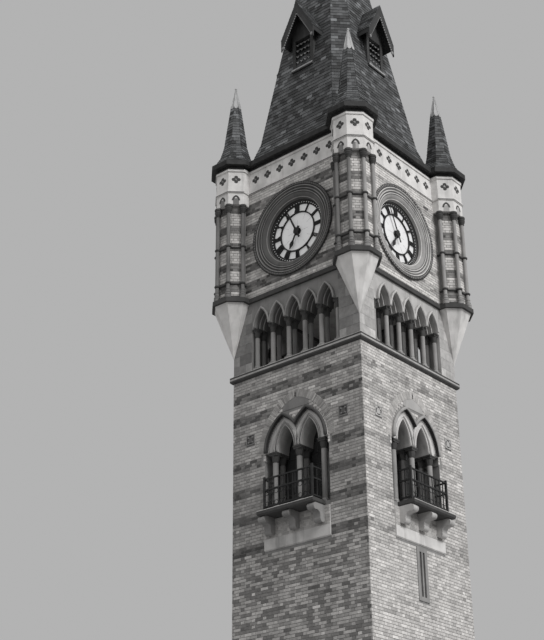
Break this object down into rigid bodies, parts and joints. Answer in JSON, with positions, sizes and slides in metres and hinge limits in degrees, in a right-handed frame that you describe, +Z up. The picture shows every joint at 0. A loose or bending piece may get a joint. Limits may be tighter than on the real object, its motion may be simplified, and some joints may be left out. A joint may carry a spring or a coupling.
{
  "type": "clock tower",
  "caption": "Tall square clock tower of banded brick: balconied windows, arcaded belfry, a dial on each side, corner turrets, slated spire",
  "frame": {"origin": "middle of the underside of the tower, at ground level", "axes": "+Z up, the doorway side faces -Y, +X to its right"},
  "size_m": [5.55, 5.55, 35.575],
  "materials": {
    "brick": "brickwork banded in light and dark courses",
    "stone": "dressed and weathered stone",
    "floor_stone": "plain stone slabs",
    "slate": "weathered slates in small courses",
    "lead": "weathered sheet lead",
    "iron": "black painted ironwork",
    "opal_glass": "white opal glass",
    "window_glass": "dark window glass",
    "painted_timber": "dark painted timber"
  },
  "bodies": {
    "tower": {"apron_panels": "stone", "arcade_columns": "stone", "arcade_heads": "stone", "arcade_sills": "stone", "balcony_brackets": "stone", "balcony_slabs": "stone", "bargeboards": "painted_timber", "clock_walls": "brick", "corner_piers": "stone", "dial_frames": "iron", "dial_panes": "opal_glass", "dial_surrounds": "stone", "door_leaf": "painted_timber", "door_surround": "stone", "finial": "iron", "frieze": "stone", "ground_floor": "floor_stone", "gutter": "iron", "lower_shaft": "brick", "lucarne_cheeks": "painted_timber", "lucarne_louvres": "painted_timber", "lucarne_roofs": "slate", "plinth": "stone", "railing_fronts": "iron", "railing_returns": "iron", "slit_surrounds": "stone", "spire_cap": "lead", "spire_slopes": "slate", "spirelet_caps": "lead", "spirelets": "slate", "stage_string": "stone", "string_course": "stone", "turret_colonnettes": "stone", "turret_corbels": "stone", "turret_cores": "brick", "turret_heads": "stone", "upper_floors": "floor_stone", "wall_plaques": "stone", "window_casements": "painted_timber", "window_columns": "stone", "window_heads": "stone", "window_panes": "window_glass", "window_stage": "brick"},
    "front_minute": {"front_minute_hand": "iron"},
    "front_hour": {"front_hour_hand": "iron"},
    "right_minute": {"right_minute_hand": "iron"},
    "right_hour": {"right_hour_hand": "iron"},
    "back_minute": {"back_minute_hand": "iron"},
    "back_hour": {"back_hour_hand": "iron"},
    "left_minute": {"left_minute_hand": "iron"},
    "left_hour": {"left_hour_hand": "iron"}
  },
  "joints": [
    {"name": "front_minute_turn", "type": "hinge", "parent": "tower", "child": "front_minute", "pos_m": [0, -1.93, 19.377], "axis": [0, 1, 0], "continuous": true},
    {"name": "front_hour_turn", "type": "hinge", "parent": "tower", "child": "front_hour", "pos_m": [0, -1.93, 19.377], "axis": [0, 1, 0], "continuous": true},
    {"name": "right_minute_turn", "type": "hinge", "parent": "tower", "child": "right_minute", "pos_m": [1.93, 0, 19.377], "axis": [-1, 0, 0], "continuous": true},
    {"name": "right_hour_turn", "type": "hinge", "parent": "tower", "child": "right_hour", "pos_m": [1.93, 0, 19.377], "axis": [-1, 0, 0], "continuous": true},
    {"name": "back_minute_turn", "type": "hinge", "parent": "tower", "child": "back_minute", "pos_m": [0, 1.93, 19.377], "axis": [0, -1, 0], "continuous": true},
    {"name": "back_hour_turn", "type": "hinge", "parent": "tower", "child": "back_hour", "pos_m": [0, 1.93, 19.377], "axis": [0, -1, 0], "continuous": true},
    {"name": "left_minute_turn", "type": "hinge", "parent": "tower", "child": "left_minute", "pos_m": [-1.93, 0, 19.377], "axis": [1, 0, 0], "continuous": true},
    {"name": "left_hour_turn", "type": "hinge", "parent": "tower", "child": "left_hour", "pos_m": [-1.93, 0, 19.377], "axis": [1, 0, 0], "continuous": true}
  ],
  "couplings": [
    {"joint": "front_hour_turn", "follows": "front_minute_turn", "ratio": 0.083333},
    {"joint": "right_minute_turn", "follows": "front_minute_turn", "ratio": 1},
    {"joint": "right_hour_turn", "follows": "front_minute_turn", "ratio": 0.083333},
    {"joint": "back_minute_turn", "follows": "front_minute_turn", "ratio": 1},
    {"joint": "back_hour_turn", "follows": "front_minute_turn", "ratio": 0.083333},
    {"joint": "left_minute_turn", "follows": "front_minute_turn", "ratio": 1},
    {"joint": "left_hour_turn", "follows": "front_minute_turn", "ratio": 0.083333}
  ]
}
